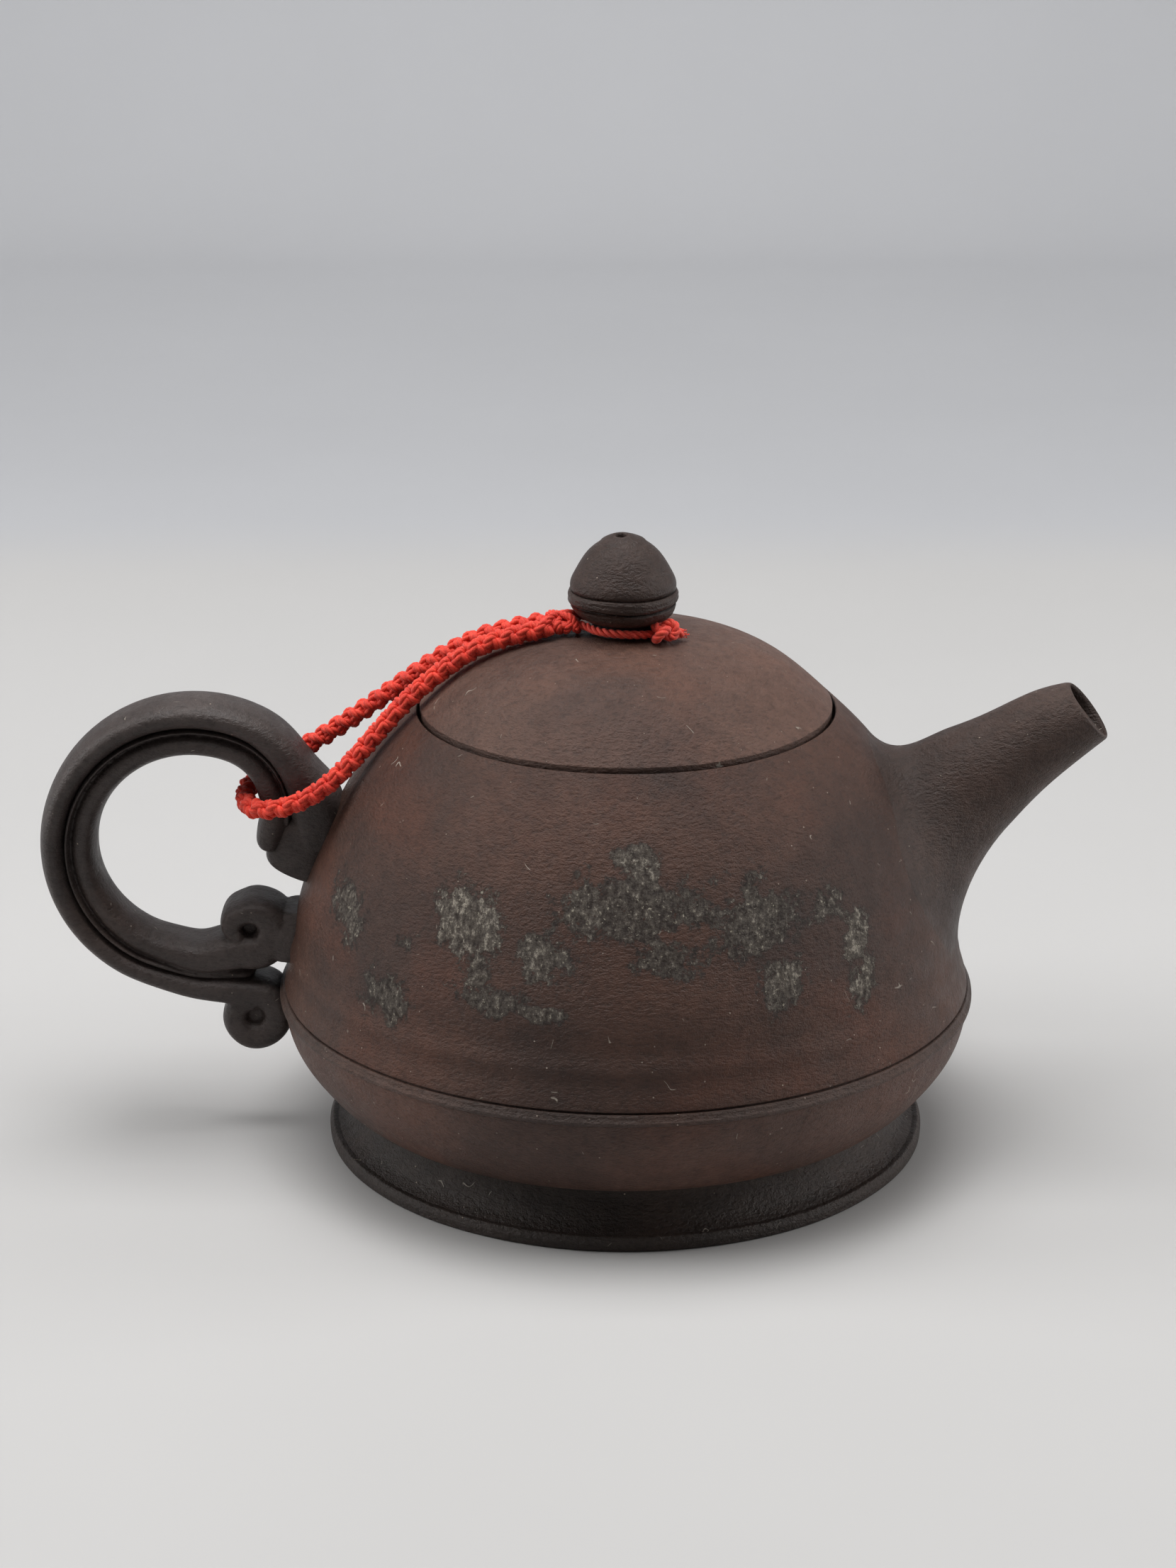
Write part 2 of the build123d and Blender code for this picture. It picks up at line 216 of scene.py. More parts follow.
def lathe(name, outline, segments=288, shape=handmade):
    """A closed outline of (radius, height), turned about the pot's axis."""
    outline = np.array(outline, float)
    turns = circle(segments)
    x = np.outer(outline[:, 0], np.cos(turns))
    y = np.outer(outline[:, 0], np.sin(turns))
    z = np.repeat(outline[:, 1:2], segments, axis=1)
    points = np.stack([x, y, z], axis=2).reshape(-1, 3)
    return add_mesh(name, shape(points), grid_faces(len(outline), segments, wrap_rows=True))


def rounded(corners):
    """An outline from (radius, height) or (radius, height, rounding) corners, each rounding made an arc."""
    made = []
    count = len(corners)
    for i, corner in enumerate(corners):
        p = np.array(corner[:2], float)
        if len(corner) == 2:
            made.append(p)
            continue
        before = unit(np.array(corners[i - 1][:2], float) - p)
        after = unit(np.array(corners[(i + 1) % count][:2], float) - p)
        half = math.acos(max(-1, min(1, before @ after))) / 2
        reach = corner[2] / math.tan(half)
        middle = p + unit(before + after) * corner[2] / math.sin(half)
        start = p + before * reach - middle
        end = p + after * reach - middle
        for s in np.linspace(0, 1, ARC_STEPS + 1):
            made.append(middle + unit(start * (1 - s) + end * s) * corner[2])
    return made


def tube(line, radius, sides=8, normal=(0, 0, 1)):
    """A round tube along a line as (points, faces); radius is one number, or one for each point."""
    across, up = frames(line, normal)
    turns = circle(sides)[None, :, None]
    size = np.broadcast_to(np.asarray(radius, float), len(line))[:, None, None]
    ring = across[:, None, :] * np.cos(turns) + up[:, None, :] * np.sin(turns)
    points = (line[:, None, :] + size * ring).reshape(-1, 3)
    return points, capped_faces(len(line), sides)


def remeshed(made):
    """The object's mesh as one closed skin, with its creases softened."""
    remesh = made.modifiers.new("remesh", "REMESH")
    remesh.mode = "VOXEL"
    remesh.voxel_size = VOXEL * MM
    remesh.use_smooth_shade = True
    soften = made.modifiers.new("soften", "SMOOTH")
    soften.factor = 0.5
    soften.iterations = SMOOTHING
    bpy.context.view_layer.update()
    evaluated = made.evaluated_get(bpy.context.evaluated_depsgraph_get())
    mesh = bpy.data.meshes.new_from_object(evaluated)
    made.modifiers.clear()
    made.data = mesh
    mesh.polygons.foreach_set("use_smooth", [True] * len(mesh.polygons))
    return made


# -------------------- tie cord
# The braid's route: from the knot down the lid, round in front of the handle's arm, and back behind it.
BRAID_ROUTE = [
    (-9.9, -1.75, 71.5), (-15.2, -2.2, 70.5), (-19.8, -2.4, 68.95), (-24.2, -2.7, 65.95),
    (-28.4, -3.1, 62.5), (-32.4, -4.1, 58.3), (-36.2, -5.6, 54.1), (-40.4, -7.0, 50.4),
    (-45.3, -7.3, 48.2), (-49.4, -5.7, 47.5), (-50.9, -2.0, 47.6), (-50.9, 2.2, 47.9),
    (-49.4, 5.8, 48.9), (-45.2, 7.2, 50.9), (-40.2, 7.0, 54.0), (-35.8, 6.1, 57.2),
    (-31.4, 5.1, 60.6), (-26.9, 4.0, 64.2), (-22.2, 2.8, 67.5), (-16.6, 1.5, 70.3),
    (-9.9, 1.05, 71.5),
]
STRAND_OFFSET = 0.62
STRAND_WEAVE = 0.2
LOBE_PITCH = 2.3
BRAID_STEP = 0.16
NECK_CORD_R = 5.5
NECK_CORD_H = 71.35
NECK_CORD_RISE = 0.75
NECK_CORD_END_X = -7.7
NECK_CORD_STEP = 0.12
# The thin cord's turn round the neck: where it starts and how far it goes, in degrees, by how many steps.
NECK_START = 198
NECK_SWEEP = 324
NECK_STEPS = 12
# Twisted cords: how far each ply runs off the middle, how many plies, their pitch, and a ply's radius.
STRAND = (0.33, 3, 2.6, 0.36)
BINDING = (0.24, 3, 1.9, 0.27)
CROSSING = (0.25, 3, 2.0, 0.28)
THIN_CORD = (0.29, 3, 3.05, 0.29)
THIN_KNOT = (0.3, 3, 2.3, 0.34)
TAIL = (0.36, 4, 4.0, 0.36)
LEFT_KNOT = (-8.5, -0.45, 71.6)
KNOT_TURNS = 5
KNOT_TURN_STEP = 0.88
RIGHT_KNOT = (4.9, -4.9, 71.9)
FRAYED_THREADS = 26
FRAYED_R = 0.055


def route_line(name, route, step):
    """Evenly spaced points, in millimetres, of the NURBS curve that has the route as its control points."""
    data = bpy.data.curves.new(name, "CURVE")
    data.dimensions = "3D"
    data.resolution_u = 24
    path = data.splines.new("NURBS")
    path.points.add(len(route) - 1)
    for point, place in zip(path.points, route):
        point.co = (*(np.array(place) * MM), 1)
    path.order_u = 3
    path.use_endpoint_u = True
    bare = bpy.data.objects.new(name, data)
    mesh = bpy.data.meshes.new_from_object(bare)
    line = np.array([v.co for v in mesh.vertices]) / MM
    bpy.data.meshes.remove(mesh)
    bpy.data.curves.remove(data)
    return spaced(line, step)


def plied(line, off, plies, pitch, ply_r, phase=0.0, sides=8):
    """A cord of plies twisted about a line, as (points, faces) parts."""
    across, up = frames(line, (0.3, 0.2, 1))
    at = along(line)
    parts = []
    for k in range(plies):
        turn = phase + 2 * np.pi * (k / plies + at / pitch)
        centre = line + off * (across * np.cos(turn)[:, None] + up * np.sin(turn)[:, None])
        parts.append(tube(centre, ply_r, sides))
    return parts


def make_braid():
    """Four strands of three twisted yarns each, plaited round: two wind one way and two the other."""
    line = route_line("braid_route", BRAID_ROUTE, BRAID_STEP)
    across, up = frames(line, (0, 0.7, 0.7))
    at = along(line)
    turn = np.pi * at / LOBE_PITCH
    parts = []
    for way in (1, -1):
        for k in (0, 1):
            angle = way * turn + k * np.pi
            out = STRAND_OFFSET + way * STRAND_WEAVE * np.cos(2 * turn)
            ring = across * np.cos(angle)[:, None] + up * np.sin(angle)[:, None]
            centre = line + out[:, None] * ring
            parts += plied(centre, *STRAND, phase=1.3 * k + way)
    braid = add_mesh("tie_braid", *joined(parts))
    return braid, line


def wrap(centre, half, tilt, lean):
    """One turn of twisted yarn round the X axis, as parts; half is its half width and half height."""
    turns = np.linspace(0, 2 * np.pi, 64)
    across = 0.5 * np.sin(turns + lean) * tilt
    ring = np.stack([across, half[0] * np.cos(turns), half[1] * np.sin(turns)], axis=1)
    return plied(ring + np.array(centre), *BINDING, phase=lean, sides=7)


def make_left_knot():
    """The binding over both ends of the braid: yarn wound round a core, and two turns crossing on top."""
    parts = []
    x, y, z = LEFT_KNOT
    for k in range(KNOT_TURNS):
        size = 1.0 - 0.05 * abs(k - KNOT_TURNS // 2)
        centre = (x - 1.8 + KNOT_TURN_STEP * k, y, z)
        parts += wrap(centre, (1.85 * size, 0.86 * size), 0.9 * (-1) ** k, 0.9 * k)
    core = spaced(np.array([(x - 2.9, y, z), (x + 2.6, y, z)]), 0.2)
    ends = np.sqrt(np.clip(1 - np.linspace(-1, 1, len(core)) ** 8, 0.05, 1))
    points, faces = tube(core, ends, 20, (0, 1, 0))
    points = (points - np.array(LEFT_KNOT)) * (1, 1.75, 0.8) + np.array(LEFT_KNOT)
    parts.append((points, faces))
    for way, phase in ((1, 0.0), (-1, 1.0)):
        loop = [
            (x - 2.0 * way, y - 1.95, z - 0.4),
            (x - 1.6 * way, y - 1.3, z + 0.95),
            (x + 0.1 * way, y + 0.2 * way, z + 1.3),
            (x + 1.6 * way, y + 1.4, z + 0.85),
            (x + 2.0 * way, y + 2.0, z - 0.4),
        ]
        parts += plied(spline(loop, 14), *CROSSING, phase=phase)
    return add_mesh("tie_left_knot", *joined(parts))


def make_neck_cord():
    """The thin twisted cord once round the knob's neck, from the binding and back to it."""
    route = [(NECK_CORD_END_X, -1.2, NECK_CORD_H + NECK_CORD_RISE)]
    reach = NECK_CORD_R * 1.03
    half = NECK_STEPS // 2
    for k in range(NECK_STEPS + 1):
        turn = math.radians(NECK_START + NECK_SWEEP * k / NECK_STEPS)
        rise = 0.12 * math.sin(3 * turn) + NECK_CORD_RISE * max(0.0, abs(k - half) / half - 0.35)
        route.append((reach * math.cos(turn), reach * math.sin(turn), NECK_CORD_H + rise))
    route.append((NECK_CORD_END_X, 0.6, NECK_CORD_H + NECK_CORD_RISE))
    line = route_line("neck_route", route, NECK_CORD_STEP)
    cord = add_mesh("tie_neck_cord", *joined(plied(line, *THIN_CORD, sides=9)))
    return cord, line


def make_right_knot():
    """The overhand knot that closes the thin cord."""
    t = np.linspace(0, 2 * np.pi, 150)
    turn = [np.sin(t) + 2 * np.sin(2 * t), np.cos(t) - 2 * np.cos(2 * t), -np.sin(3 * t)]
    line = np.stack(turn, axis=1) * (0.52, 0.56, 0.62)
    lean = Matrix.Rotation(math.radians(-30), 3, "Z") @ Matrix.Rotation(math.radians(16), 3, "X")
    line = line @ np.array(lean).T + np.array(RIGHT_KNOT)
    return add_mesh("tie_right_knot", *joined(plied(line, *THIN_KNOT, sides=9)))


def make_tail():
    """The cord's cut end: a short stub that lies on the lid, frayed into loose threads."""
    x, y, z = RIGHT_KNOT
    route = [(x + 0.4, y + 0.1, z - 0.2), (x + 1.5, y + 0.7, z - 0.4), (x + 2.3, y + 1.2, z - 0.75)]
    stub = spline(route, 12)
    parts = plied(stub, *TAIL, sides=9)
    tip = stub[-1]
    ahead = unit(stub[-1] - stub[-3])
    for _ in range(FRAYED_THREADS):
        way = ahead + np.array([random.gauss(0, 0.45) for _ in range(3)]) + (0, 0, -0.05)
        start = tip - ahead * 0.3 + np.array([random.gauss(0, 0.3) for _ in range(3)])
        reach = random.uniform(0.35, 0.8)
        bend = np.array([random.gauss(0, 0.12) for _ in range(3)])
        thread = spline([start, start + way * reach * 0.5 + bend, start + way * reach], 4)
        thread[:, 2] = np.maximum(thread[:, 2], z - 1.35)
        parts.append(tube(thread, FRAYED_R, 5))
    return add_mesh("tie_tail", *joined(parts))


# -------------------- turned clay
WALL = 3.2
GIRDLE_TOP = 22.1
APEX_H = 70.55
MOUTH_R = 27.75
LID_R = 27.35
LID_REST_H = 57.4
LID_HOLLOW_R = 21.2
VENT_R = 0.7
EDGE_ROUND = 0.18
# The soft ridge low on the dome: its height, how far it stands out and reaches, and where it is strongest.
RIDGE_H = 27.3
RIDGE_RISE = 0.5
RIDGE_REACH = 1.5
RIDGE_TURN = math.radians(-135.0)
DOME_SIDE = [
    (46.35, GIRDLE_TOP), (45.0, 27.0), (44.3, 32.0), (42.6, 37.5), (38.6, 46.5), (33.3, 54.7),
    (27.6, 60.5), (21.0, 66.1), (11.0, 69.75), (0.0, APEX_H),
]
DOME = spline(DOME_SIDE, 12, first=(-0.15, 1), last=(-1, 0))


def offset(outline, depth):
    """An outline moved inwards by depth."""
    step = unit(np.gradient(outline, axis=0))
    return outline + depth * np.stack([-step[:, 1], step[:, 0]], axis=1)


DOME_INSIDE = offset(DOME, WALL)


def height_at(outline, radius):
    """The outline's height at a radius."""
    return float(np.interp(-radius, -outline[:, 0], outline[:, 1]))


def radius_at(z):
    """The dome's radius at a height."""
    return float(np.interp(z, DOME[:, 1], DOME[:, 0]))


def creased(points):
    """The handmade unevenness, and a soft ridge low on the dome, strongest in front below the handle."""
    turns = np.arctan2(points[:, 1], points[:, 0])
    share = 0.65 + 0.35 * np.cos(turns - RIDGE_TURN)
    rise = RIDGE_RISE * share * np.exp(-(((points[:, 2] - RIDGE_H) / RIDGE_REACH) ** 2))
    outward = np.stack([np.cos(turns), np.sin(turns), np.zeros(len(points))], axis=1)
    return handmade(points) + rise[:, None] * outward


def make_dome():
    """The domed upper wall, its mouth's edge just softened."""
    outer = [tuple(p) for p in DOME if p[0] > MOUTH_R + 0.5]
    inner = [tuple(p) for p in DOME_INSIDE if p[0] > MOUTH_R + 0.3 and p[1] > GIRDLE_TOP + 0.2]
    foot = rounded([(43.2, GIRDLE_TOP), (46.35, GIRDLE_TOP, 0.12), outer[1]])[:-1]
    lip = [
        outer[-1],
        (MOUTH_R, height_at(DOME, MOUTH_R), EDGE_ROUND),
        (MOUTH_R, height_at(DOME_INSIDE, MOUTH_R)),
    ]
    outline = foot + outer[1:-1] + rounded(lip) + inner[::-1]
    return lathe("dome_shell", outline, 360, creased)


def make_lid():
    """The lid's plate: the dome carried on, hollow under its middle, with the vent through it."""
    top = [tuple(p) for p in DOME if VENT_R < p[0] < LID_R - 0.5]
    under = [tuple(p) for p in DOME_INSIDE if VENT_R < p[0] < LID_HOLLOW_R - 0.2]
    rim = [
        top[0],
        (LID_R, height_at(DOME, LID_R), EDGE_ROUND),
        (LID_R, LID_REST_H, 0.3),
        (LID_HOLLOW_R, LID_REST_H),
    ]
    outline = [(VENT_R, height_at(DOME_INSIDE, VENT_R)), (VENT_R, height_at(DOME, VENT_R))]
    outline += top[::-1] + rounded(rim)[1:]
    outline += [(LID_HOLLOW_R, height_at(DOME_INSIDE, LID_HOLLOW_R))] + under
    return lathe("lid_plate", outline)


def make_bowl():
    """The round lower wall."""
    side = spline([(35.7, 6.6), (39.6, 8.2), (43.0, 11.6), (45.6, 15.8), (46.65, 20.5)], 14)
    inside = offset(side, WALL)
    inner = [tuple(p) for p in inside if 9.0 < p[1] < 20.0]
    outline = [tuple(p) for p in side] + [(43.3, 20.5)] + inner[::-1]
    outline += [(34.0, 8.4), (33.0, 8.0), (33.0, 6.6)]
    return lathe("bowl_shell", outline)


def make_girdle():
    """The thin band over the joint, with a fine groove above it and a crisp lower edge."""
    outline = [(43.3, 20.35), (46.7, 20.35), (47.05, 20.55, 0.12), (47.0, 20.95, 0.2), (46.68, 21.3)]
    outline += [(46.62, 21.6, 0.1), (46.5, 21.82, 0.08), (46.02, 21.86, 0.06)]
    outline += [(46.02, 22.14), (43.3, 22.14)]
    return lathe("girdle_ring", rounded(outline), 360)


def make_foot():
    """The flared foot: a rounded lip, a crease above it, and a hollow curve up to the bowl."""
    flare = spline([(39.45, 1.95), (38.2, 2.55), (36.9, 3.9), (36.05, 5.2), (35.75, 6.6)], 8)
    lip = [(36.4, 0, 0.25), (40.66, 0, 0.4), (40.72, 1.2, 0.5), (40.3, 1.98, 0.3), (39.6, 1.9, 0.08)]
    outline = rounded(lip) + [tuple(p) for p in flare]
    outline += [(33.0, 6.6), (33.0, 4.8), (34.0, 3.2)]
    return lathe("foot_shell", outline, 320)


KNOB_FOOT_H = 72.2
KNOB_BAND_H = 75.4
KNOB_BAND_WAVER = 0.34
KNOB_OUT_OF_ROUND = 0.006
KNOB_LEAN = 0.35
VENT_LEAN = 0.4


def knob_shape(points):
    """The knob's hand-tooled grooves waver, and the knob and its vent lean a little to one side."""
    moved = np.array(points, float)
    for i, (x, y, z) in enumerate(points):
        r = math.hypot(x, y)
        wave = noise.noise(Vector((x, y, z)) * 0.28)
        if r > 3:
            tooled = max(0.0, 1 - abs(z - KNOB_BAND_H) / 2.0)
            waver = noise.noise(Vector((x * 0.16, y * 0.16, z * 0.5)))
            moved[i, 2] += KNOB_BAND_WAVER * tooled * waver
            moved[i, 0] *= 1 + KNOB_OUT_OF_ROUND * wave
            moved[i, 1] *= 1 + KNOB_OUT_OF_ROUND * wave
        moved[i, 0] -= KNOB_LEAN * min(1.0, (z - KNOB_FOOT_H) / 2)
        if r < 3 and z > 80:
            moved[i, 0] -= VENT_LEAN * (1 - r / 3)
            moved[i, 2] += 0.12 * y
    return moved


def make_knob():
    """A bud over a raised band between two grooves, with a vent down its middle."""
    cup = spline([(4.5, KNOB_FOOT_H), (5.7, 72.6), (6.5, 73.3), (6.93, 74.1)], 6, first=(1, 0.15))
    bud = [(6.98, 76.85), (6.4, 78.6), (4.75, 81.2), (2.6, 82.85), (1.1, 83.5)]
    bud = spline(bud, 12, first=(0.05, 1))
    band = [(6.97, 74.25, 0.1), (6.72, 74.5, 0.1), (7.16, 74.72, 0.2), (7.3, 75.1, 0.3)]
    band += [(7.24, 75.45, 0.3), (7.28, 75.8, 0.3), (7.1, 76.2, 0.15)]
    band += [(6.7, 76.38, 0.08), (6.95, 76.62, 0.12)]
    outline = [tuple(p) for p in cup] + rounded(band) + [tuple(p) for p in bud]
    outline += [(VENT_R + 0.08, 83.5), (VENT_R, 83.3), (VENT_R, KNOB_FOOT_H)]
    return lathe("knob_bud", outline, 192, knob_shape)


# -------------------- spout
# Each section: centre x and z, tilt of its axis above level, half its height, half its width, bore radius.
SPOUT_SECTIONS = [
    (47.25, 50.0, 32.0, 7.7, 7.4, 5.0),
    (52.3, 53.8, 36.0, 6.3, 6.2, 4.4),
    (58.0, 57.65, 36.5, 5.35, 5.3, 4.5),
    (61.5, 59.45, 38.5, 4.5, 4.6, 4.05),
]
# The bore where it runs on through the pot's wall: x, z and radius.
BORE_IN_WALL = ((44.0, 47.5, 5.4), (41.5, 45.6, 5.8))
BORE_TILT = 24.0
# The root lands on the dome in an oval: its middle's height, and half its height and its turn.
ROOT_H = 40.6
ROOT_HALF_H = 15.4
ROOT_TURN = math.radians(26.0)
ROOT_ROWS = 25
# How strongly the root's lines keep their way as they leave the dome, and as they join the stem.
PULL_AT_DOME = 1.25
PULL_MORE_ON_TOP = 0.35
PULL_AT_STEM = 1.1
LIP_DEPTH = 0.6
LIP_TURN_IN = 0.3
LIP_ROWS = 8
MOUTH_TURN = 0.1


def spout_ring(section, half_h, half_w, turns):
    """The points of one section's oval, from its top round."""
    x, z, tilt = section[:3]
    lean = math.radians(tilt)
    up = np.array([-math.sin(lean), 0, math.cos(lean)])
    side = np.array([0, 1, 0])
    centre = np.array([x, 0, z])
    return centre + half_h * np.cos(turns)[:, None] * up + half_w * np.sin(turns)[:, None] * side


def on_dome(z, turn):
    """A point of the dome's outside."""
    r = radius_at(z)
    return np.array([r * math.cos(turn), r * math.sin(turn), z])


def landing_ring(turns, share):
    """The oval on the dome where the spout's root starts; share draws it in towards the middle."""
    places = [(ROOT_H + share * ROOT_HALF_H * math.cos(t), share * ROOT_TURN * math.sin(t)) for t in turns]
    return np.array([on_dome(*place) for place in places])


def make_spout():
    """The spout, its root flowing out of the dome, its mouth cut at a slant with a thin rounded lip."""
    columns = 96
    turns = circle(columns)
    sections = spline(SPOUT_SECTIONS, 12)
    stem = [spout_ring(s, s[3], s[4], turns) for s in sections]
    land = landing_ring(turns, 1.0)
    inwards = unit(landing_ring(turns, 0.97) - land)
    onwards = unit(stem[1] - stem[0])
    apart = np.linalg.norm(stem[0] - land, axis=1)[:, None]
    leaving = (PULL_AT_DOME + PULL_MORE_ON_TOP * np.cos(turns))[:, None]
    rows = []
    middle = on_dome(ROOT_H, 0)
    for sink in (1.0, 0.3):
        rows.append(land - inwards * 0.5 * sink - unit(middle * (1, 1, 0.2)) * sink)
    for s in np.linspace(0, 1, ROOT_ROWS + 1)[:-1]:
        rows.append(
            (1 + 2 * s) * (1 - s) ** 2 * land
            + s * (1 - s) ** 2 * leaving * apart * inwards
            + s * s * (3 - 2 * s) * stem[0]
            + s * s * (s - 1) * PULL_AT_STEM * apart * onwards
        )
    at = along(sections[:, :2])
    rows += [ring for ring, place in zip(stem, at) if at[-1] - place >= LIP_DEPTH]
    last = sections[-1]
    lip_start = rows[-1]
    end = spout_ring(last, last[3], last[4], turns)
    slant = end[:, 1:2] * MOUTH_TURN * onwards
    end = end + slant
    middle_end = np.array([last[0], 0, last[1]])
    for s in np.linspace(0, math.pi / 2, LIP_ROWS + 1)[1:]:
        ring = lip_start + (end - lip_start) * math.sin(s)
        rows.append(ring + (middle_end - end) / last[3] * LIP_TURN_IN * (1 - math.cos(s)))
    rim = rows[-1]
    bore_end = spout_ring(last, last[5], last[5], turns) + slant
    rows.append(rim + (bore_end - rim) * 0.5 + 0.03 * onwards)
    for s in sections[::-4]:
        rows.append(spout_ring(s, s[5], s[5], turns) - onwards * 0.25)
    for x, z, bore in BORE_IN_WALL:
        rows.append(spout_ring((x, z, BORE_TILT), bore, bore, turns))
    faces = grid_faces(len(rows), columns, wrap_rows=True)
    return add_mesh("spout_shell", np.concatenate(rows), faces)


# -------------------- handle
LOOP_CENTRE = np.array([-57.8, 40.7])
LOOP_R = 17.2
ARM_R = 10.5
ARM_X = -44.9
HANDLE_END_ANGLE = 254.0
# How far each roll, and the ridge between them, runs outside the handle's middle line.
INNER_OFFSET = -2.25
OUTER_OFFSET = 1.75
BEAD_OFFSET = -0.2
UPPER_EYE = (-50.9, 29.3)
LOWER_EYE = (-50.3, 16.9)
ROLL_STEP = 0.35
SPIRAL_POINTS = 13
# The blocks of clay against the dome: how boxy, how far into the wall, and how they narrow down and up.
BLOCK_SQUARE = 3.2
BLOCK_SUNK = 2.2
BLOCK_TAPER_H = 3.4
BLOCK_TOP_H = 2.5
BLOCK_TOP_SLOPE = 0.4
BLOCK_WIDER_AT_DOME = 0.06


def handle_line():
    """Points in the XZ plane down the middle of the handle, from its arm round to the end of its loop."""
    arm_centre_x = ARM_X - ARM_R
    apart = LOOP_R - ARM_R
    lean = math.acos((arm_centre_x - LOOP_CENTRE[0]) / apart)
    arm_centre = np.array([arm_centre_x, LOOP_CENTRE[1] + apart * math.sin(lean)])

    def arc(centre, radius, start, end, count):
        turns = np.radians(np.linspace(start, end, count))
        return centre + radius * np.stack([np.cos(turns), np.sin(turns)], axis=1)

    join = math.degrees(lean)
    arm = arc(arm_centre, ARM_R, 0, join, 7)
    loop = arc(LOOP_CENTRE, LOOP_R, join, HANDLE_END_ANGLE, 17)
    return np.concatenate([arm, loop[1:]])


def beside(line, out):
    """The line moved out from the loop's middle."""
    step = unit(np.gradient(line, axis=0))
    return line + out * np.stack([step[:, 1], -step[:, 0]], axis=1)


def spiral(centre, start, end, radii):
    """Points of a scroll's spiral between two angles in degrees; radii are spread along it."""
    turns = np.radians(np.linspace(start, end, SPIRAL_POINTS))
    size = np.interp(np.linspace(0, 1, SPIRAL_POINTS), np.linspace(0, 1, len(radii)), radii)
    return np.array(centre) + np.stack([size * np.cos(turns), size * np.sin(turns)], axis=1)


def roll(line, half_t, half_w, square, end_round):
    """A roll of clay along a line in the XZ plane as (points, faces), boxy or round, with rounded ends."""
    sides = 40
    step = unit(np.gradient(line, axis=0))
    out = np.stack([step[:, 1], np.zeros(len(line)), -step[:, 0]], axis=1)
    middle = np.stack([line[:, 0], np.zeros(len(line)), line[:, 1]], axis=1)
    at = along(line)
    end = np.minimum(at, at[-1] - at)
    shrink = np.sqrt(np.clip(1 - (1 - np.clip(end / end_round, 0, 1)) ** 2, 0.02, 1))
    u, v = boxy(circle(sides), np.broadcast_to(square, (len(line),))[:, None])
    t = (half_t * shrink)[:, None, None] * u[:, :, None] * out[:, None, :]
    w = (half_w * shrink)[:, None, None] * v[:, :, None] * np.array([0, 1, 0])
    points = (middle[:, None, :] + t + w).reshape(-1, 3)
    return points, [f[::-1] for f in capped_faces(len(line), sides)]


def sized(line, sizes):
    """Values spread along a line by distance: sizes is a list of (share of the length, value)."""
    share = along(line) / along(line)[-1]
    return np.interp(share, [s for s, _ in sizes], [v for _, v in sizes])


def thick(points, sizes):
    """Points with a third number, half the roll's thickness there, spread evenly over them."""
    size = np.interp(np.linspace(0, 1, len(points)), np.linspace(0, 1, len(sizes)), sizes)
    return np.column_stack([points, size])


def make_inner_roll():
    """The handle's inner roll, with a tongue on the root, the upper scroll, and the ridge beside it."""
    tongue = thick([(-48.1, 40.3), (-47.7, 42.0), (-47.1, 44.2), (-46.95, 46.0)], (1.5, 1.9, 2.1, 1.9))
    band = thick(beside(handle_line(), INNER_OFFSET)[1:], (1.85, 1.75, 1.75, 1.75, 2.0))
    bridge = thick([(-57.2, 25.2)], (2.25,))
    radii = (3.2, 3.45, 3.5, 2.85, 2.4, 2.45, 1.4, 0.35)
    scroll = spiral(UPPER_EYE, -100, 262, radii)
    scroll = thick(scroll, (2.6, 2.7, 2.7, 1.95, 1.6, 1.8, 1.1, 0.4))
    line = spaced(spline(np.concatenate([tongue, band, bridge, scroll]), 12), ROLL_STEP)
    half_w = sized(line[:, :2], [(0, 4.5), (0.05, 4.7), (0.12, 4.3), (0.6, 4.2), (0.8, 4.6), (1, 4.3)])
    square = sized(line[:, :2], [(0, 2.3), (0.68, 2.3), (0.78, 3.4), (1, 3.4)])
    body = roll(line[:, :2], line[:, 2], half_w, square, 1.4)
    parts = [body, plug(UPPER_EYE, 1.5, 2.2), bead(), pressed_clay()]
    return remeshed(add_mesh("handle_inner_roll", *joined(parts)))


def make_outer_roll():
    """The handle's outer roll: the root on the dome, the loop's outside, and the lower scroll."""
    arm = [(-41.6, 40.5), (-41.2, 43.5), (-41.3, 46.2), (-42.0, 48.3), (-43.0, 50.2)]
    arm = thick(arm, (2.6, 3.2, 3.5, 3.2, 2.6))
    band = thick(beside(handle_line(), OUTER_OFFSET)[4:], (2.15, 1.95, 1.85, 1.8, 1.8))
    bridge = thick([(-57.6, 20.9), (-53.8, 20.5)], (1.8, 2.0))
    radii = (3.15, 2.95, 2.9, 2.95, 2.7, 2.2, 0.7)
    scroll = spiral(LOWER_EYE, 98, -300, radii)
    scroll = thick(scroll, (2.1, 2.15, 2.2, 2.25, 2.0, 1.5, 0.5))
    line = spaced(spline(np.concatenate([arm, band, bridge, scroll]), 12), ROLL_STEP)
    half_w = sized(line[:, :2], [(0, 4.6), (0.06, 4.9), (0.3, 4.9), (0.7, 4.8), (0.8, 4.6), (1, 4.2)])
    square = sized(line[:, :2], [(0, 3.6), (0.09, 3.4), (0.18, 2.3), (0.7, 2.3), (0.8, 3.2), (1, 3.2)])
    body = roll(line[:, :2], line[:, 2], half_w, square, 1.2)
    parts = [body, plug(LOWER_EYE, 1.4, 3.0), root_block()]
    return remeshed(add_mesh("handle_outer_roll", *joined(parts)))


def plug(centre, radius, half_w):
    """A short round core that closes the middle of a scroll: the bottom of its eye."""
    x, z = centre
    line = np.array([(x, y, z) for y in np.linspace(-half_w, half_w, 9)])
    return tube(line, radius, 24, (1, 0, 0))


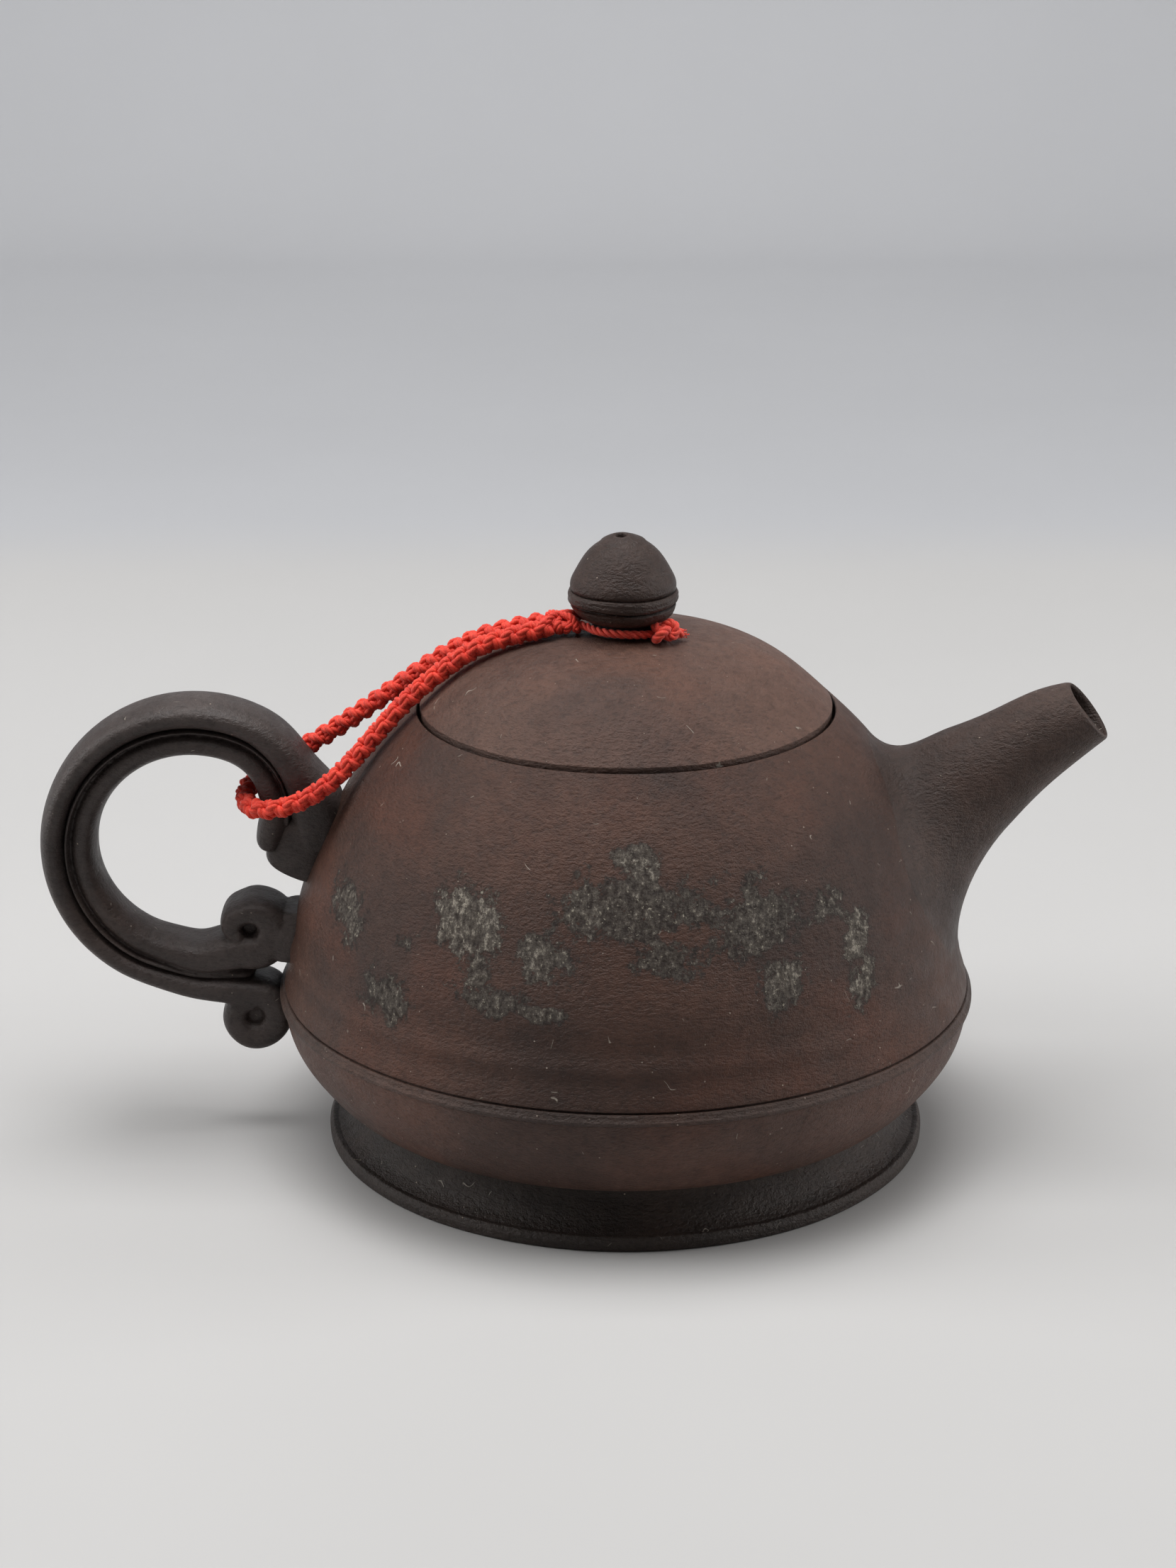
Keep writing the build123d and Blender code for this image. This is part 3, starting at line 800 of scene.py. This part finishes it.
def block(levels, wide, taper=0.0):
    """A rounded block against the dome as (points, faces): its left side is given as (height, x)."""
    sides = 48
    u, v = boxy(circle(sides), BLOCK_SQUARE)
    top, bottom = levels[0][0], levels[-1][0]
    rows = []
    for z, left in spline(levels, 5):
        right = -radius_at(z) + BLOCK_SUNK
        half = (right - left) / 2
        low = taper * max(0.0, bottom + BLOCK_TAPER_H - z)
        high = BLOCK_TOP_SLOPE * max(0.0, z - top + BLOCK_TOP_H)
        reach = (wide - (low + high)) * (1 + BLOCK_WIDER_AT_DOME * u)
        rows.append(np.stack([(left + right) / 2 + half * u, reach * v, np.full(sides, z)], axis=1))
    return np.concatenate(rows), [f[::-1] for f in capped_faces(len(rows), sides)]


def root_block():
    """The block under the arm, from the arm's underside down to the dome."""
    levels = [(46.6, -43.5), (45.4, -44.6), (44.0, -46.3), (42.0, -47.6), (40.6, -48.2), (39.4, -48.3)]
    levels += [(38.6, -47.9), (37.8, -46.9), (37.1, -45.4), (36.6, -43.9)]
    return block(levels, 4.5, 0.12)


def pressed_clay():
    """Clay pressed down between the upper scroll and the dome."""
    levels = [(31.9, -46.0), (31.4, -47.4), (30.4, -48.6), (28.6, -49.2), (26.6, -49.0), (25.2, -47.8)]
    return block(levels, 4.65)


def bead():
    """The fine ridge in the groove between the two rolls, and the clay in the fork of the scrolls."""
    line = [(-45.2, 43.2), (-45.1, 45.0), *beside(handle_line(), BEAD_OFFSET)]
    line += [(-58.5, 23.1), (-54.0, 22.7), (-50.2, 22.5)]
    line = spaced(spline(line, 10), 0.4)
    half_t = sized(line, [(0, 0.45), (0.8, 0.45), (0.88, 0.8), (0.95, 1.2), (1, 0.9)])
    half_w = sized(line, [(0, 3.4), (0.1, 4.3), (0.84, 4.4), (0.93, 3.6), (1, 2.6)])
    return roll(line, half_t, half_w, 2.0, 1.6)


# -------------------- materials
def srgb(red, green, blue):
    """A colour given as 0 to 255 on screen, as linear light."""
    return tuple(((c / 255 + 0.055) / 1.055) ** 2.4 for c in (red, green, blue)) + (1.0,)


CLAY_SPECULAR = 0.31
CLAY_RELIEF = 0.42
GRIT = srgb(176, 160, 146)
LINT = srgb(176, 167, 154)
# Near-black painted on the walls of the narrow gap round the lid: painted shade.
GAP_SHADE_COLOUR = srgb(12, 9, 8)
STAIN_HALO = srgb(38, 30, 26)
CRUST_DARK = srgb(42, 34, 30)
CRUST_GREY = srgb(92, 85, 77)
CRUST_PALE = srgb(172, 164, 150)
CRUMBS = srgb(202, 194, 174)


class Shader:
    """A material's nodes, made one after another."""

    def __init__(self, name):
        self.material = bpy.data.materials.new(name)
        self.material.use_nodes = True
        self.nodes = self.material.node_tree.nodes
        self.links = self.material.node_tree.links
        self.surface = self.nodes["Principled BSDF"]
        place = self.add("ShaderNodeTexCoord")
        self.place = self.add("ShaderNodeMapping", place.outputs["Object"])
        self.place.inputs["Scale"].default_value = (1 / MM,) * 3

    def add(self, kind, *inputs, **settings):
        """A node; inputs are linked or set in order, and None leaves one as it is."""
        node = self.nodes.new(kind)
        for name, value in settings.items():
            setattr(node, name, value)
        for socket, value in zip(node.inputs, inputs):
            self.put(socket, value)
        return node

    def put(self, socket, value):
        """Links a socket to an output, or sets it."""
        if isinstance(value, bpy.types.NodeSocket):
            self.links.new(value, socket)
        elif value is not None:
            socket.default_value = value

    def set(self, name, value):
        """Links or sets a socket of the surface."""
        self.put(self.surface.inputs[name], value)

    def stretched(self, scale):
        """The place scaled unevenly, for grain that runs one way."""
        node = self.add("ShaderNodeMapping", self.place.outputs[0])
        node.inputs["Scale"].default_value = scale
        return node.outputs[0]

    def noise(self, size, detail=4.0, rough=0.55, place=None):
        """Noise from 0 to 1 with features about size millimetres across."""
        node = self.add("ShaderNodeTexNoise")
        self.put(node.inputs["Vector"], place or self.place.outputs[0])
        node.inputs["Scale"].default_value = 1 / size
        node.inputs["Detail"].default_value = detail
        node.inputs["Roughness"].default_value = rough
        return node.outputs["Fac"]

    def spread(self, value, low, high, to_low=0.0, to_high=1.0):
        """A value's range moved to another, clamped."""
        node = self.add("ShaderNodeMapRange", value, low, high, to_low, to_high)
        node.interpolation_type = "SMOOTHSTEP"
        return node.outputs[0]

    def math(self, how, a, b=None):
        """One sum."""
        return self.add("ShaderNodeMath", a, b, operation=how).outputs[0]

    def mix(self, share, a, b, how="MIX"):
        """Two colours mixed."""
        node = self.add("ShaderNodeMix", data_type="RGBA", blend_type=how)
        for socket, value in zip((node.inputs[0], node.inputs[6], node.inputs[7]), (share, a, b)):
            self.put(socket, value)
        return node.outputs[2]

    def attribute(self, name):
        """A value painted on the mesh's points."""
        return self.add("ShaderNodeAttribute", attribute_name=name).outputs["Fac"]

    def grey(self, value):
        """A value as a grey colour, to multiply by."""
        return self.add("ShaderNodeCombineColor", value, value, value).outputs[0]

    def bump(self, height, distance, strength):
        """Fine relief of about distance millimetres."""
        node = self.add("ShaderNodeBump")
        node.inputs["Strength"].default_value = strength
        node.inputs["Distance"].default_value = distance * MM
        self.put(node.inputs["Height"], height)
        return node.outputs[0]


def clay(name, base, dark, warm, rough=0.48, grain=1.0, grit_scale=0.62, stained=False):
    """Fired stoneware: uneven tone, grain that runs round the pot with painted shade in its hollows, pale
    grits and a few short fibres.
    """
    s = Shader(name)
    tone = s.spread(s.noise(26.0, 3.0, 0.5), 0.35, 0.68)
    colour = s.mix(tone, dark, base)
    flush = s.spread(s.noise(19.0, 2.0, 0.5, s.stretched((1, 1, 1.4))), 0.5, 0.72, 0.0, 0.45)
    colour = s.mix(flush, colour, warm)
    mottle = s.spread(s.noise(1.9, 6.0, 0.65), 0.3, 0.7, 0.84, 1.14)
    colour = s.mix(1.0, colour, s.grey(mottle), "MULTIPLY")
    peel = s.noise(0.75, 3.0, 0.62, s.stretched((1.0, 1.0, 2.0)))
    fine = s.noise(0.2, 3.0, 0.6)
    # Where the grain's relief is low the colour is darkened: painted shade in its hollows.
    hollow_shade = s.spread(peel, 0.34, 0.52, 0.55, 1.0)
    colour = s.mix(0.6, colour, s.grey(hollow_shade), "MULTIPLY")
    cells = s.add("ShaderNodeTexVoronoi", s.place.outputs[0])
    cells.inputs["Scale"].default_value = grit_scale
    chosen = s.spread(s.add("ShaderNodeSeparateColor", cells.outputs["Color"]).outputs[0], 0.62, 0.64)
    dots = s.spread(cells.outputs["Distance"], 0.05, 0.085, 1.0, 0.0)
    grit = s.math("MULTIPLY", chosen, dots)
    colour = s.mix(s.math("MULTIPLY", grit, 0.7), colour, GRIT)
    curl = s.math("ABSOLUTE", s.math("SUBTRACT", s.noise(3.6, 1.0), 0.5))
    few = s.spread(s.noise(2.9, 1.0), 0.69, 0.72)
    lint = s.math("MULTIPLY", s.spread(curl, 0.003, 0.009, 1.0, 0.0), few)
    colour = s.mix(s.math("MULTIPLY", lint, 0.6), colour, LINT)
    # The walls of the gap round the lid are painted near-black: painted shade.
    colour = s.mix(s.math("MULTIPLY", s.attribute("gap_shade"), 0.9), colour, GAP_SHADE_COLOUR)
    rough_value = s.spread(s.noise(3.0, 4.0), 0.3, 0.7, rough - 0.05, rough + 0.08)
    height = s.math("ADD", s.math("MULTIPLY", peel, 0.75), s.math("MULTIPLY", fine, 0.3))
    height = s.math("ADD", height, s.math("MULTIPLY", grit, 0.25))
    if stained:
        colour, rough_value, height = add_stains(s, colour, rough_value, height)
    s.set("Base Color", colour)
    s.set("Roughness", rough_value)
    s.set("Normal", s.bump(height, CLAY_RELIEF * grain, 1.0))
    s.set("Specular IOR Level", CLAY_SPECULAR)
    return s.material


def add_stains(s, colour, rough, height):
    """Old scale on the dome: ragged patches of dark crust with grey and pale crumbs and streaks in it."""
    film = s.attribute("film")
    ragged = s.math("MULTIPLY", s.math("SUBTRACT", s.noise(2.6, 8.0, 0.8), 0.5), 2.7)
    edge = s.math("ADD", s.attribute("stain"), ragged)
    halo = s.spread(edge, 0.25, 0.6)
    body = s.spread(edge, 0.47, 0.58)
    grain = s.noise(0.9, 8.0, 0.8, s.stretched((1.3, 1.0, 0.8)))
    grain = s.math("ADD", grain, s.math("MULTIPLY", film, 0.07))
    crust = s.mix(s.spread(grain, 0.43, 0.57), CRUST_DARK, CRUST_GREY)
    crust = s.mix(s.spread(grain, 0.57, 0.68), crust, CRUST_PALE)
    bits = s.spread(s.noise(0.5, 3.0, 0.65), 0.63, 0.7)
    crust = s.mix(s.math("MULTIPLY", bits, 0.7), crust, CRUMBS)
    colour = s.mix(s.math("MULTIPLY", halo, 0.4), colour, STAIN_HALO)
    colour = s.mix(s.math("MULTIPLY", body, 0.85), colour, crust)
    rough = s.math("ADD", rough, s.math("MULTIPLY", body, 0.2))
    height = s.math("ADD", height, s.math("MULTIPLY", s.math("MULTIPLY", body, grain), 0.9))
    return colour, rough, height


def yarn(name, base, dark, light):
    """Red dyed yarn: fine fibres with a soft sheen."""
    s = Shader(name)
    patch = s.spread(s.noise(3.2, 3.0), 0.3, 0.7)
    colour = s.mix(patch, dark, base)
    fibres = s.noise(0.16, 4.0, 0.7)
    colour = s.mix(s.spread(fibres, 0.42, 0.75), colour, light)
    s.set("Base Color", colour)
    s.set("Roughness", 0.62)
    s.set("Specular IOR Level", 0.35)
    s.set("Sheen Weight", 0.25)
    s.set("Sheen Roughness", 0.4)
    s.set("Normal", s.bump(fibres, 0.05, 0.8))
    return s.material


# -------------------- stains on the dome
STAIN_FALL = 0.7
# Each patch: its place along X and its height on the front of the dome, how far it reaches along both,
# its strength, and how pale its crust is.
STAINS = [
    (-35.8, 39.1, 2.0, 3.6, 0.85, 0.4), (-20.1, 43.1, 4.3, 4.1, 1.0, 1.0),
    (-18.7, 37.9, 1.3, 2.3, 1.0, 0.7), (-10.7, 40.5, 3.7, 2.7, 0.95, 0.7),
    (-5.2, 45.7, 3.0, 3.3, 0.9, 0.5), (-16.5, 34.6, 4.4, 1.8, 0.9, 0.3),
    (-11.2, 33.8, 3.1, 1.1, 0.85, 0.6), (-30.4, 31.5, 3.1, 2.8, 0.9, 0.4),
    (-28.3, 38.7, 1.3, 1.3, 0.7, 0.4), (0.5, 51.8, 3.0, 1.5, 1.0, 0.6),
    (2.2, 49.2, 1.6, 1.8, 0.9, 0.5), (1.5, 46.0, 9.0, 3.4, 0.85, 0.1),
    (5.5, 40.3, 4.8, 2.2, 0.85, 0.2), (15.4, 48.1, 1.7, 1.4, 0.8, 0.2),
    (25.4, 43.9, 2.6, 1.8, 0.8, 0.4), (15.4, 43.5, 6.0, 3.6, 0.9, 0.2),
    (19.2, 36.2, 2.8, 3.0, 0.95, 0.6), (28.7, 39.3, 1.5, 2.8, 1.0, 1.0),
    (29.6, 33.6, 1.6, 3.1, 1.0, 0.9),
]


def point_places(piece):
    """A piece's points in millimetres."""
    places = np.zeros(len(piece.data.vertices) * 3)
    piece.data.vertices.foreach_get("co", places)
    return places.reshape(-1, 3) / MM


def paint(piece, name, values):
    """Writes one value at each point of a piece for its material to read."""
    layer = piece.data.attributes.new(name, "FLOAT", "POINT")
    layer.data.foreach_set("value", values.astype(np.float32))


def paint_stains(dome):
    """Writes how stained each point of the dome is, and how pale the crust is there."""
    places = point_places(dome)
    stain = np.zeros(len(places))
    film = np.zeros(len(places))
    for x, z, wide, tall, strength, smooth in STAINS:
        gap = ((places[:, 0] - x) / wide) ** 2 + ((places[:, 2] - z) / tall) ** 2
        amount = strength * np.exp(-STAIN_FALL * gap) * (places[:, 1] < 0)
        film = np.where(amount > stain, smooth, film)
        stain = np.maximum(stain, amount)
    paint(dome, "stain", stain)
    paint(dome, "film", film)


GAP_REACH = 0.34
GAP_DEPTH = 0.3


def paint_shade_in_gap(piece):
    """Writes how much painted shade each point takes: the walls of the narrow gap round the lid are painted
    near-black.
    """
    places = point_places(piece)
    radius = np.hypot(places[:, 0], places[:, 1])
    near = np.abs(radius - (LID_R + MOUTH_R) / 2) < GAP_REACH
    depth = height_at(DOME, LID_R) - places[:, 2]
    paint(piece, "gap_shade", near * np.clip(depth / GAP_DEPTH, 0, 1))


# -------------------- stage
FLOOR_FRONT = -900.0
FLOOR_BACK = 620.0
WALL_CURVE = 120.0
WALL_TOP = 1500.0
STAGE_HALF_W = 1600.0
# The paper turns grey between these distances behind the pot's middle, painted shade for the dimmer
# backdrop, and paler again towards the wall, painted light that makes up for the lamps' fall-off.
GREY_FROM = 268.0
GREY_AT = 325.0
PALER_AT = 700.0
PAPER_NEAR = srgb(188, 187, 186)
PAPER_SHADED = srgb(183, 184, 187)
PAPER_LIT_FAR = srgb(201, 202, 205)
LIGHT_TARGET = Vector((0, 0, 40))
# Each light: its name, its place, its width and height, and its power in watts.
LIGHTS = [
    ("overhead", (-30, 0, 760), (560, 500), 5.8),
    ("left", (-600, 20, 300), (260, 420), 2.0),
    ("right", (620, 60, 240), (260, 420), 1.8),
]
# How the surround brightens: from and to along Y, and the strengths there.
SURROUND = (-0.9, 0.2, 0.08, 0.3)


def stage_paper():
    """Pale paper, greyer from some way behind the pot as painted shade, and paler further back as painted
    light.
    """
    s = Shader("stage_paper")
    back = s.add("ShaderNodeSeparateXYZ", s.place.outputs[0]).outputs["Y"]
    # Grey behind the pot is painted shade; paler towards the wall is painted light against the lamps'
    # fall-off.
    colour = s.mix(s.spread(back, GREY_FROM, GREY_AT), PAPER_NEAR, PAPER_SHADED)
    colour = s.mix(s.spread(back, GREY_AT, PALER_AT), colour, PAPER_LIT_FAR)
    tone = s.spread(s.noise(90.0, 3.0), 0.2, 0.8, 0.985, 1.01)
    s.set("Base Color", s.mix(1.0, colour, s.grey(tone), "MULTIPLY"))
    s.set("Roughness", 0.7)
    return s.material


def make_stage():
    """A pale floor that turns up into a wall well behind the pot."""
    profile = [(FLOOR_FRONT, 0.0), (FLOOR_BACK, 0.0)]
    for turn in np.radians(np.arange(5, 91, 5)):
        profile.append((FLOOR_BACK + WALL_CURVE * math.sin(turn), WALL_CURVE * (1 - math.cos(turn))))
    profile.append((FLOOR_BACK + WALL_CURVE, WALL_TOP))
    points = [(x, y, z) for y, z in profile for x in (-STAGE_HALF_W, STAGE_HALF_W)]
    stage = add_mesh("stage_floor", points, grid_faces(len(profile), 2, wrap_columns=False))
    stage.data.materials.append(stage_paper())


def add_light(name, place, size, power):
    """One soft rectangular light that faces the pot."""
    data = bpy.data.lights.new(name, "AREA")
    data.shape = "RECTANGLE"
    data.size = size[0] * MM
    data.size_y = size[1] * MM
    data.energy = power
    light = bpy.data.objects.new(name, data)
    bpy.context.scene.collection.objects.link(light)
    light.location = Vector(place) * MM
    light.rotation_euler = (LIGHT_TARGET - Vector(place)).to_track_quat("-Z", "Y").to_euler()


def make_surround():
    """A grey studio all round, darkest on the camera's side."""
    world = bpy.data.worlds.new("studio")
    world.use_nodes = True
    nodes = world.node_tree.nodes
    links = world.node_tree.links
    place = nodes.new("ShaderNodeTexCoord")
    parts = nodes.new("ShaderNodeSeparateXYZ")
    links.new(place.outputs["Generated"], parts.inputs[0])
    ahead = nodes.new("ShaderNodeMapRange")
    links.new(parts.outputs["Y"], ahead.inputs["Value"])
    for socket, value in zip(ahead.inputs[1:5], SURROUND):
        socket.default_value = value
    background = nodes["Background"]
    background.inputs["Color"].default_value = (1.0, 0.985, 0.97, 1)
    links.new(ahead.outputs[0], background.inputs["Strength"])
    bpy.context.scene.world = world


def make_light():
    """A big soft light overhead and weaker ones on both sides."""
    make_surround()
    for light in LIGHTS:
        add_light(*light)
    bpy.context.scene.view_settings.view_transform = "Standard"


# -------------------- building it
def finish_piece(piece, body, slot, material, *nodes):
    """A piece that stands for CAD nodes: its material, and its body if it rides one; slot is not used."""
    piece.data.materials.append(material)
    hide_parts(*nodes)
    if body:
        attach(piece, body)


def build_clay():
    """Every clay piece."""
    pot = clay("clay_pot", srgb(74, 57, 50), srgb(56, 43, 38), srgb(80, 54, 43))
    dome_clay = clay("clay_dome", srgb(79, 53, 42), srgb(56, 38, 31), srgb(90, 51, 35), stained=True)
    # The lid's clay is a lighter copy of the body's clay, with more pale grits: the lighter colour is
    # painted light from above on its top.
    lit_lid_clay = clay("clay_lid_lit", srgb(99, 73, 62), srgb(78, 57, 49), srgb(104, 69, 54), grit_scale=0.9)
    # The bowl's clay is a lighter copy of the body's clay: painted light that the pale floor throws up onto
    # the bowl.
    lit_bowl_clay = clay("clay_bowl_lit", srgb(90, 66, 57), srgb(70, 51, 44), srgb(97, 62, 48))
    foot_clay = clay("clay_foot", srgb(65, 55, 50), srgb(50, 42, 38), srgb(67, 51, 43), rough=0.44)
    handle_clay = clay(
        "clay_handle", srgb(75, 66, 63), srgb(57, 50, 48), srgb(74, 60, 54), rough=0.42, grain=0.55
    )
    knob_clay = clay("clay_knob", srgb(64, 49, 43), srgb(48, 35, 30), srgb(68, 46, 38), 0.42, 0.8)
    inside = clay("clay_inside", srgb(92, 74, 66), srgb(74, 58, 51), srgb(98, 70, 58), rough=0.7)

    dome = make_dome()
    paint_stains(dome)
    paint_shade_in_gap(dome)
    lid = make_lid()
    paint_shade_in_gap(lid)
    finish_piece(dome, "pot", "clay_brown", dome_clay, "body_dome")
    finish_piece(make_spout(), "pot", "clay_brown", pot, "spout")
    finish_piece(make_bowl(), "pot", "clay_brown", lit_bowl_clay, "lower_bowl")
    finish_piece(make_girdle(), "pot", "clay_brown", pot, "girdle_band")
    finish_piece(make_foot(), "pot", "clay_foot", foot_clay, "foot_ring")
    outer_nodes = ("handle_root", "handle_outer_band", "lower_scroll")
    finish_piece(make_outer_roll(), "pot", "clay_handle", handle_clay, *outer_nodes)
    finish_piece(make_inner_roll(), "pot", "clay_handle", handle_clay, "handle_inner_band", "upper_scroll")
    finish_piece(lid, "lid", "clay_brown", lit_lid_clay, "lid_dome")
    finish_piece(make_knob(), "lid", "clay_knob", knob_clay, "knob")
    for name in ("base_disc", "mouth_ring", "strainer", "lid_flange", "knob_neck"):
        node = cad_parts[name]
        node.data.materials.clear()
        node.data.materials.append(knob_clay if name == "knob_neck" else inside)


def build_cords():
    """The braid, the thin cord and their knots."""
    braid_yarn = yarn("yarn_braid", srgb(232, 58, 38), srgb(204, 38, 27), srgb(246, 98, 72))
    thin_yarn = yarn("yarn_thin", srgb(228, 66, 48), srgb(200, 44, 34), srgb(242, 104, 80))
    braid, braid_line = make_braid()
    neck_cord, neck_line = make_neck_cord()
    left_knot = make_left_knot()
    right_knot = make_right_knot()
    tail = make_tail()
    finish_piece(braid, None, "cord_braid", braid_yarn, "braided_cord")
    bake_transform(braid)
    finish_piece(left_knot, "tie", "cord_braid", braid_yarn, "left_knot")
    finish_piece(neck_cord, "tie", "cord_thread", thin_yarn, "neck_loop")
    finish_piece(right_knot, "tie", "cord_thread", thin_yarn, "right_knot")
    finish_piece(tail, "tie", "cord_thread", thin_yarn, "cord_tail")


make_camera()
build_cords()
build_clay()
make_stage()
make_light()
